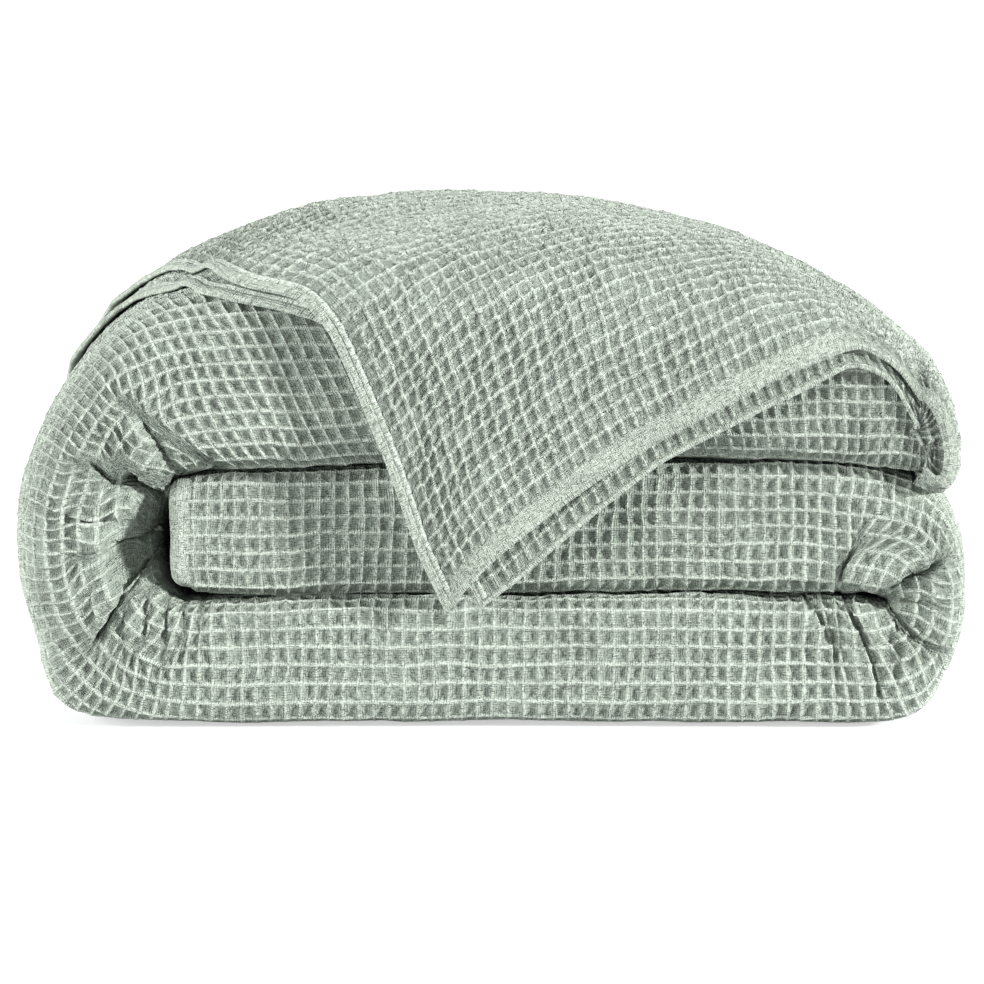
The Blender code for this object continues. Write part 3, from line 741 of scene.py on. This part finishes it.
def makeCotton():
    material = bpy.data.materials.new("sage_cotton_waffle")
    material.use_nodes = True
    tree = material.node_tree
    shader = tree.nodes["Principled BSDF"]
    ridge, hem, inside = (addNode(tree, "Attribute", {"attribute_name": name}).outputs["Fac"]
                          for name in ("ridge", "hem", "inside"))
    place = addNode(tree, "UVMap", {"uv_map": "cloth"}).outputs["UV"]
    solidPlace = addNode(tree, "TexCoord").outputs["Object"]

    # between the plies the same waffle is only drawn, at the pitch of the modelled ridges, as a bump and as
    # the ridges' painted highlight
    cellPlace = addNode(tree, "SeparateXYZ", None, {0: place})
    foot, drawn = waffle["profile"][0][2], []
    for axis, pitch in (("X", waffle["alongPitch"]), ("Y", waffle["acrossPitch"])):
        away = addNode(tree, "Math", {"operation": "PINGPONG"}, {0: cellPlace.outputs[axis], 1: pitch / 2})
        line = addNode(tree, "MapRange", None, {"Value": away.outputs[0], "From Max": foot * pitch,
                                                "To Min": 1.0, "To Max": 0.0})
        drawn.append(line.outputs[0])
    lattice = addNode(tree, "Math", {"operation": "MAXIMUM"}, {0: drawn[0], 1: drawn[1]})
    innerRidge = addNode(tree, "Math", {"operation": "MULTIPLY"}, {0: lattice.outputs[0], 1: inside})
    anyRidge = addNode(tree, "Math", {"operation": "MAXIMUM"}, {0: innerRidge.outputs[0], 1: ridge})
    latticeBump = addNode(tree, "Bump", None, {"Strength": 1.0, "Distance": waffle["acrossRidge"],
                                               "Height": innerRidge.outputs[0]})

    # uneven spun yarns: the weave wanders by a fraction of its pitch
    drift = addNode(tree, "TexNoise", None,
                    {"Vector": solidPlace, "Scale": 1 / cotton["driftSize"], "Detail": 2.0})
    shifted = addNode(tree, "VectorMath", {"operation": "MULTIPLY_ADD"},
                      {0: drift.outputs["Color"], 1: (cotton["drift"],) * 3, 2: place})
    split = addNode(tree, "SeparateXYZ", None, {0: shifted.outputs[0]})
    yarns = []
    for axis in ("X", "Y"):
        angle = addNode(tree, "Math", {"operation": "MULTIPLY"},
                        {0: split.outputs[axis], 1: math.pi / cotton["yarnPitch"]})
        wave = addNode(tree, "Math", {"operation": "SINE"}, {0: angle.outputs[0]})
        yarns.append(addNode(tree, "Math", {"operation": "ABSOLUTE"}, {0: wave.outputs[0]}).outputs[0])
    plain = addNode(tree, "Math", {"operation": "MULTIPLY"}, {0: yarns[0], 1: yarns[1]})
    # warp and weft yarns seen as short streaks each way
    streaks = []
    for narrow, wide in ((cotton["yarnWidth"], cotton["floatLength"]),
                         (cotton["floatLength"], cotton["yarnWidth"])):
        spread = addNode(tree, "VectorMath", {"operation": "MULTIPLY"},
                         {0: place, 1: (1 / narrow, 1 / wide, 1)})
        streak = addNode(tree, "TexNoise", None,
                         {"Vector": spread.outputs[0], "Scale": 1.0, "Detail": 1.5})
        streaks.append(streak.outputs["Fac"])
    woven = addNode(tree, "Math", {"operation": "ADD"}, {0: streaks[0], 1: streaks[1]})
    weave = addNode(tree, "MapRange", None, {"Value": woven.outputs[0], "From Min": 0.7, "From Max": 1.3})
    fuzz = addNode(tree, "TexNoise", None,
                   {"Vector": solidPlace, "Scale": 1 / cotton["fuzzSize"], "Detail": 2.0})
    normal = latticeBump.outputs["Normal"]
    for height, strength, relief in ((plain.outputs[0], 1.0, cotton["yarnRelief"]),
                                     (weave.outputs[0], 1.0, cotton["floatRelief"]),
                                     (fuzz.outputs["Fac"], 0.7, cotton["fuzz"])):
        bump = addNode(tree, "Bump", None, {"Strength": strength, "Distance": relief, "Height": height,
                                            "Normal": normal})
        normal = bump.outputs["Normal"]

    # painted light: painted shade in the gaps between the yarns and in the pockets, a painted highlight on
    # the raised floats and the ridges
    ridgeHighlightColour = addNode(tree, "Mix", {"data_type": "RGBA"}, {
        0: anyRidge.outputs[0], 6: srgb(cotton["floorTone"]), 7: srgb(cotton["ridgeHighlightTone"])})
    # the plain hem's own tone, lightened as a painted highlight
    hemColour = addNode(tree, "Mix", {"data_type": "RGBA"},
                        {0: hem, 6: ridgeHighlightColour.outputs[2], 7: srgb(cotton["hemToneAndHighlight"])})
    # darker where the yarn bumps are low, as painted shade, and paler where they are high, as a painted
    # highlight
    mixed = addNode(tree, "Math", {"operation": "MULTIPLY_ADD"},
                    {0: plain.outputs[0], 1: 0.55, 2: weave.outputs[0]})
    yarnShade = addNode(tree, "MapRange", None,
                        {"Value": mixed.outputs[0], "From Min": 0.15, "From Max": 1.15,
                         "To Min": cotton["yarnGapShade"], "To Max": cotton["floatHighlight"]})
    patch = addNode(tree, "TexNoise", None,
                    {"Vector": solidPlace, "Scale": 1 / cotton["patchSize"], "Detail": 3.0})
    patchShade = addNode(tree, "MapRange", None,
                         {"Value": patch.outputs["Fac"], "From Min": 0.3, "From Max": 0.7,
                          "To Min": cotton["patchDark"], "To Max": cotton["patchPale"]})
    shade = addNode(tree, "Math", {"operation": "MULTIPLY"},
                    {0: yarnShade.outputs[0], 1: patchShade.outputs[0]})
    final = addNode(tree, "Mix", {"data_type": "RGBA", "blend_type": "MULTIPLY"},
                    {0: 1.0, 6: hemColour.outputs[2], 7: shade.outputs[0]})
    tree.links.new(final.outputs[2], shader.inputs["Base Color"])
    tree.links.new(normal, shader.inputs["Normal"])
    for name, key in (("Roughness", "roughness"), ("Specular IOR Level", "specular"),
                      ("Sheen Weight", "sheen"), ("Sheen Roughness", "sheenRoughness")):
        shader.inputs[name].default_value = cotton[key]
    shader.inputs["Sheen Tint"].default_value = srgb(cotton["sheenTone"])
    return material


print("cotton")
waffleCotton = makeCotton()

print("strip")
laid = layStrip()
middleBand = stripPiece("middleBand", 0, 6.4)
rightTurn = stripPiece("rightTurn", 6.4, 13.6)
baseBand = stripPiece("baseBand", 13.6, 19.5)
leftTurn = stripPiece("leftTurn", 19.5, 29.4)
topBand = stripPiece("topBand", 29.4, len(stripRoute) - 1)

ply = {"cells": 8, "relief": 0.7}     # the width that shows, and its ridges beside the outer ply's


# The ply between the folds, of which only the back edge shows.
def innerPly(name, firstRow, lastRow):
    along, rows, numbers = routeLines(route, firstRow, lastRow)
    across = cellPlaces(0, ply["cells"], lineShares["back"])
    width = ply["cells"] * waffle["acrossPitch"]
    points = np.empty((len(along), len(across), 3))
    for k, values in enumerate(rowValues(route, rows)):
        cut = Section(values)
        path = cut.innerFold()
        length = lengthsAlong(path)
        walked = (across / ply["cells"] - 0.5) * width + length[-1] / 2
        y, n = (np.interp(walked, length, path[:, i]) for i in (0, 1))
        flat = cut.middle + n[:, None] * cut.normal
        points[k] = np.column_stack([flat[:, 0], y, flat[:, 1]])
    normal = gridNormals(points)
    normal *= np.sign(normal[:, len(across) // 2, 1].sum())
    place = (along[:, None], across[None, :] * waffle["acrossPitch"])
    height, ridge = ridgeHeights(ridgeShare(numbers), ridgeShare(across), *place)
    points = points + normal * (height * ply["relief"])[..., None]
    uv = np.stack(np.broadcast_arrays(*place), axis=2)
    # the ridge mark carries the painted highlight on the ridges and the painted shade in the pockets
    piece = gridPiece(name, points, uv, {"ridge": ridge, "hem": np.zeros(ridge.shape)})
    finishPiece(piece)
    return piece


lowerPly = innerPly("lowerPly", 0.6, 19.5)
topPly = innerPly("topPly", 19.5, len(route) - 1.2)


# The two thin layers. Their guide begins at a row of the route, is read off in even steps between
# the given distances along and down, and hangs straight down past the folds.
layers = {
    "guideRow": 21, "step": 2 * mm, "along": -0.46, "down": (-0.33, 0.45), "hang": 0.4,
    "cells": (82, 76), "alongPitch": 9.6 * mm, "acrossPitch": 9.8 * mm,
    "standOff": 9 * mm,                  # how far they stand off the bands in front, and where:
    "standsDown": (0.09, 0.2), "standsLeft": (-0.17, -0.08), "standsRight": (0.11, 0.27),
    "bend": 12 * mm, "sweep": 70 * mm,   # how softly a hem bends, and how softly the weave follows it
    "lowerFollows": 0.06, "leftFollows": 0.10,
    "relief": 1.15, "thickness": 3.6 * mm,
    "wander": 1.2 * mm, "wanders": (0.02, 0.05), "share": ((1, 16 * mm), (1.5, 60 * mm)),
    "soft": ((1.6 * mm, 70 * mm, 51), (0.8 * mm, 22 * mm, 52)),
    "frill": (0.5 * mm, 7 * mm, 53), "frillReach": 6 * mm,
    "backLimit": [(-480, -222), (-410, -222), (-270, -288), (190, -288), (262, -206), (500, -206)],
}


# The surface that the thin layers follow, over the top, its front and its right end.
class Guide:
    def __init__(self, clearance):
        rows = route[layers["guideRow"]:] + endTurn
        places = np.linspace(0, len(rows) - 1, 12 * len(rows))
        cuts = [Section(values) for values in rowValues(rows, places)]
        outer = np.array([c.middle + c.normal * (c.half + clearance) for c in cuts])
        walked = lengthsAlong(outer)
        walked -= np.interp(0, outer[:, 0][:150], walked[:150])      # counted from the middle of the top
        self.end = walked[-1]
        self.along = np.arange(layers["along"], self.end, layers["step"])
        self.down = np.arange(*layers["down"], layers["step"])
        table = np.array([self.column(cut, clearance) for cut in cuts])
        spots = np.interp(self.along, walked, np.arange(len(walked)))
        first = np.clip(spots.astype(int), 0, len(walked) - 2)
        share = (spots - first)[:, None, None]
        self.table = table[first] * (1 - share) + table[first + 1] * share
        window = np.hanning(13)[1:-1]
        padded = np.pad(self.table, ((5, 5), (0, 0), (0, 0)), "reflect", reflect_type="odd")
        self.table = sum(w / window.sum() * padded[k:k + len(self.table)] for k, w in enumerate(window))

    def column(self, cut, clearance):
        over = cut.halfCurve(1, 1, clearance)
        drop = np.array([[0, layers["hang"]]])
        curve = np.concatenate([over[:1] - drop, over, over[-1:] - drop])
        down = lengthsAlong(curve)
        down = np.interp(0, curve[1:-1, 0], down[1:-1]) - down
        y, n = (np.interp(self.down, down[::-1], curve[::-1, k]) for k in (0, 1))
        flat = cut.middle + n[:, None] * cut.normal
        return np.column_stack([flat[:, 0], y, flat[:, 1]])

    # places in space for arrays of distances along and down
    def points(self, along, down):
        a = np.clip((along - self.along[0]) / layers["step"], 0, len(self.along) - 1.001)
        d = np.clip((down - self.down[0]) / layers["step"], 0, len(self.down) - 1.001)
        i, j = a.astype(int), d.astype(int)
        s, t = (a - i)[..., None], (d - j)[..., None]
        return ((self.table[i, j] * (1 - s) + self.table[i + 1, j] * s) * (1 - t)
                + (self.table[i, j + 1] * (1 - s) + self.table[i + 1, j + 1] * s) * t)


# Hems from the edge inwards: the lines and their height over the cloth, in mm, how much they are
# raised floats and their thickness as a share of the thickest. Each ends where the waffle starts.
rolledHem = {"places": (0.0, 0.5, 1.4, 3.0, 4.8, 6.2, 7.0, 7.8, 8.8, 9.8, 10.8),
             "heights": (-0.2, 0.3, 0.8, 1.0, 0.8, 0.3, 0.1, 1.0, 1.5, 1.1, -0.3),
             "floats": (0, 0, 0, 0, 0, 0, 0.2, 0.9, 1, 0.9, 0.2),
             "thickness": (0.25, 0.6, 0.9, 1.0, 0.95, 0.8, 0.6, 0.6, 0.6, 0.6, 0.5)}
flatHem = {"places": (0.0, 0.5, 1.4, 2.6, 3.8, 5.0, 7.5, 10.0, 12.0, 13.0),
           "heights": (-0.3, 0.3, 0.9, 1.1, 0.8, 0.4, 0.2, 0.1, 0.0, -0.1),
           "floats": (0.2, 0.4, 0.5, 0.4, 0.2, 0, 0, 0, 0, 0),
           "thickness": (0.25, 0.6, 0.9, 1.0, 0.95, 0.8, 0.7, 0.7, 0.6, 0.5)}
narrowHem = {"places": (0.0, 0.5, 1.2, 2.2, 3.2), "heights": (-0.2, 0.4, 0.9, 0.8, 0.2),
             "floats": (0.3, 0.6, 0.8, 0.5, 0), "thickness": (0.25, 0.6, 0.85, 0.8, 0.5)}

# The two thin layers: clearance over the band, and their lower and left hems from the hanging
# corner as (along, down) in mm.
flapTopPlan = {
    "name": "flapTop", "clearance": 10.0 * mm, "leftHem": rolledHem, "lowerHem": flatHem,
    "lower": [(-35, 410), (8, 375), (55, 340), (99, 306), (148, 273), (197, 238), (236, 210), (262, 209),
              (300, 216), (340, 216), (430, 216), (560, 216), (760, 216)],
    "left": [(-35, 410), (-55, 375), (-74, 317), (-101, 244), (-117, 224), (-150, 213), (-167, 198),
             (-198, 111), (-228, 60), (-300, -60), (-400, -222), (-470, -335)],
}
flapUnderPlan = {
    "name": "flapUnder", "clearance": 4.5 * mm, "leftHem": rolledHem, "lowerHem": narrowHem,
    "lower": [(-8, 401), (23, 381), (75, 336), (112, 303), (161, 271), (199, 243), (231, 215), (257, 213),
              (285, 224), (340, 225), (430, 225), (560, 225), (760, 225)],
    "left": [(-8, 401), (-30, 368), (-55, 308), (-77, 259), (-100, 231), (-127, 222), (-158, 211),
             (-182, 196), (-208, 130), (-242, 80), (-300, 46), (-360, -90), (-410, -222), (-460, -335)],
}


# Points of a hem at the given distances from its corner, its bends softened.
def hemCurve(corners, distances, soft):
    line = np.array(corners, float) * mm
    walked = lengthsAlong(line)
    fine = np.arange(0, walked[-1], layers["step"])
    dense = np.stack([np.interp(fine, walked, line[:, k]) for k in (0, 1)], axis=1)
    reach = int(soft / layers["step"])
    padded = np.concatenate([2 * dense[0] - dense[reach:0:-1], dense,
                             2 * dense[-1] - dense[-2:-reach - 2:-1]])
    window = np.hanning(2 * reach + 3)[1:-1]
    window /= window.sum()
    smooth = np.stack([np.convolve(padded[:, k], window, "valid") for k in (0, 1)], axis=1)
    found = np.stack([np.interp(distances, fine, smooth[:, k]) for k in (0, 1)], axis=1)
    way = (smooth[-1] - smooth[-12]) / np.linalg.norm(smooth[-1] - smooth[-12])
    return found + np.maximum(distances - fine[-1], 0)[:, None] * way


# The lines from a hemmed edge inwards: place, ridge weight, hem share, height, floats, thickness.
def hemmedLines(hem, pitch, cells):
    numbers = cellPlaces(0, cells, lineShares["back"])[1:]
    places, none = np.array(hem["places"]) * mm, np.zeros(len(numbers))
    both = ((places, places[-1] + numbers * pitch), (np.zeros(len(places)), ridgeShare(numbers)),
            (np.ones(len(places)), none), (np.array(hem["heights"]) * mm, none),
            (hem["floats"], none), (hem["thickness"], none + 0.5))
    return [np.concatenate(parts) for parts in both]


# A thin layer with hems on two sides: its weave runs parallel to both hems.
def flapPiece(plan):
    guide = Guide(plan["clearance"])
    a, aWeights, aHem, aHeight, aFloat, aThick = hemmedLines(
        plan["leftHem"], layers["alongPitch"], layers["cells"][0])
    b, bWeights, bHem, bHeight, bFloat, bThick = hemmedLines(
        plan["lowerHem"], layers["acrossPitch"], layers["cells"][1])
    grid = np.broadcast_arrays(a[:, None], b[None, :])
    nearest = np.minimum(*grid)
    wobble = layers["wander"] * smoothStep(*layers["wanders"], nearest)
    aShift, bShift = (wobble * layeredNoise(*grid, [(*share, seed + 2 * k) for k, share
                                                    in enumerate(layers["share"])]) for seed in (41, 42))
    bends = (layers["bend"], layers["sweep"])
    lower, lowerSoft = (hemCurve(plan["lower"], a, soft) for soft in bends)
    left, leftSoft = (hemCurve(plan["left"], b, soft) for soft in bends)
    flat = lowerSoft[:, None] + leftSoft[None, :] - lowerSoft[0]
    flat = flat + (lower - lowerSoft)[:, None] * np.exp(-b / layers["lowerFollows"])[None, :, None]
    flat = flat + (left - leftSoft)[None, :] * np.exp(-a / layers["leftFollows"])[:, None, None]
    along, down = flat[..., 0] + aShift, flat[..., 1] + bShift
    limit = np.array(layers["backLimit"]) * mm
    furthest = np.interp(along, limit[:, 0], limit[:, 1])
    end = guide.end - 1 * mm
    kept = (along < end) & (down > furthest)
    points = guide.points(np.minimum(along, end), np.maximum(down, furthest))
    hangs = smoothStep(*layers["standsDown"], down) * smoothStep(*layers["standsLeft"], along)
    points[..., 1] -= layers["standOff"] * hangs * (1 - smoothStep(*layers["standsRight"], along))
    normal = gridNormals(points)
    normal = normal * np.sign((normal * (points - np.array([0.0, 0.0, 0.15]))).sum())    # outwards
    height, ridge = ridgeHeights(aWeights, bWeights, *grid)
    hem = np.maximum(aHem[:, None], bHem[None, :])
    inBoth = (aHem[:, None] > 0) & (bHem[None, :] > 0)
    inLeft = np.where(inBoth, grid[0] < grid[1], aHem[:, None] > 0)
    roll, floats, thickness = (np.where(inLeft, first[:, None], second[None, :]) for first, second
                               in ((aHeight, bHeight), (aFloat, bFloat), (aThick, bThick)))
    thickness = np.where(inBoth, np.minimum(aThick[:, None], bThick[None, :]), thickness)
    frill = layeredNoise(*grid, [layers["frill"]]) * np.exp(-nearest / layers["frillReach"])
    height = height * (1 - hem) * layers["relief"] + roll * hem + layeredNoise(*grid, layers["soft"]) + frill
    # the ridge mark gives the ridges and the hem's raised floats their painted highlight, the hem mark the
    # hem's own tone lightened as a painted highlight
    marks = {"ridge": ridge * (1 - hem) + floats * hem, "hem": hem * (1 - floats * hem),
             "thickness": thickness}
    piece = gridPiece(plan["name"], points + normal * height[..., None], np.stack(grid, axis=2), marks,
                      keep=kept)
    weights = np.empty(len(piece.data.vertices))
    piece.data.attributes["thickness"].data.foreach_get("value", weights)
    weights = np.round(weights, 2)
    thick = piece.vertex_groups.new(name="thick")
    for level in np.unique(weights):
        thick.add(np.flatnonzero(weights == level).tolist(), float(level), "REPLACE")
    solid = piece.modifiers.new("thickness", "SOLIDIFY")
    solid.thickness = layers["thickness"]
    solid.offset = 0
    solid.vertex_group = "thick"
    finishPiece(piece)
    return piece


print("top layers")
flapUnder = flapPiece(flapUnderPlan)
flapTop = flapPiece(flapTopPlan)

print("studio")
# Each light with its turn and height in degrees, its power and its spread in degrees. The camera
# sees the white backdrop brighter than it lights the cloth.
studio = {
    "floorTone": "#D4D4D6", "floorGlow": 0.56, "sky": 0.1, "backdrop": 1.05,
    "lights": {"key": (66, 18, 4.6, 7), "fill": (-58, 17, 3.0, 45), "leftFill": (-85, 10, 2.3, 40),
               "rightFill": (98, 3, 2.0, 35), "backFill": (185, 6, 1.3, 40)},
}


# A white sheet of paper that the camera sees brighter than it lights the cloth.
def paperPaint(name, tone, glow):
    material = bpy.data.materials.new(name)
    material.use_nodes = True
    tree = material.node_tree
    shader = tree.nodes["Principled BSDF"]
    shader.inputs["Base Color"].default_value = srgb(tone)
    shader.inputs["Roughness"].default_value = 0.8
    shader.inputs["Emission Color"].default_value = (1, 1, 1, 1)
    path = addNode(tree, "LightPath")
    seen = addNode(tree, "Math", {"operation": "MULTIPLY"}, {0: path.outputs["Is Camera Ray"], 1: glow})
    tree.links.new(seen.outputs[0], shader.inputs["Emission Strength"])
    return material


mesh = bmesh.new()
bmesh.ops.create_grid(mesh, x_segments=1, y_segments=1, size=12)
floorMesh = bpy.data.meshes.new("floor")
mesh.to_mesh(floorMesh)
mesh.free()
floor = bpy.data.objects.new("floor", floorMesh)
bpy.context.scene.collection.objects.link(floor)
floor.location.z = -0.4 * mm
floor.data.materials.append(paperPaint("white_paper", studio["floorTone"], studio["floorGlow"]))


def sunLight(name, turn, height, power, spread):
    data = bpy.data.lights.new(name, "SUN")
    data.energy = power
    data.angle = math.radians(spread)
    lamp = bpy.data.objects.new(name, data)
    turn, height = math.radians(turn), math.radians(height)
    way = Vector((math.sin(turn) * math.cos(height), -math.cos(turn) * math.cos(height), math.sin(height)))
    lamp.location = way * 3
    lamp.rotation_euler = way.to_track_quat("Z", "Y").to_euler()
    bpy.context.scene.collection.objects.link(lamp)


for name, settings in studio["lights"].items():
    sunLight(name, *settings)
world = bpy.data.worlds.new("studio")
world.use_nodes = True
lightPath = addNode(world.node_tree, "LightPath")
sky = addNode(world.node_tree, "MapRange", None, {"Value": lightPath.outputs["Is Camera Ray"],
                                                  "To Min": studio["sky"], "To Max": studio["backdrop"]})
background = world.node_tree.nodes["Background"]
background.inputs["Color"].default_value = (1, 1, 1, 1)
world.node_tree.links.new(sky.outputs[0], background.inputs["Strength"])
bpy.context.scene.world = world
bpy.context.scene.view_settings.view_transform = "Standard"

# The camera looks down by its pitch and is then aimed a little aside, by pixels of a frame 984 wide.
shot = {"place": (0.003, -2.2821, 0.3647), "pitch": math.radians(10), "focal": 3459.6, "frame": 984,
        "across": 2, "up": 239}
camera = bpy.data.objects.new("camera", bpy.data.cameras.new("camera"))
camera.data.sensor_width = 36
camera.data.lens = camera.data.sensor_width * shot["focal"] / shot["frame"]
camera.location = shot["place"]
forward = Vector((0, math.cos(shot["pitch"]), -math.sin(shot["pitch"])))
upward = Vector((0, math.sin(shot["pitch"]), math.cos(shot["pitch"])))
aim = forward + shot["across"] / shot["focal"] * Vector((1, 0, 0)) + shot["up"] / shot["focal"] * upward
camera.rotation_euler = aim.to_track_quat("-Z", "Y").to_euler()
camera.data.clip_end = 30
bpy.context.scene.collection.objects.link(camera)
bpy.context.scene.camera = camera
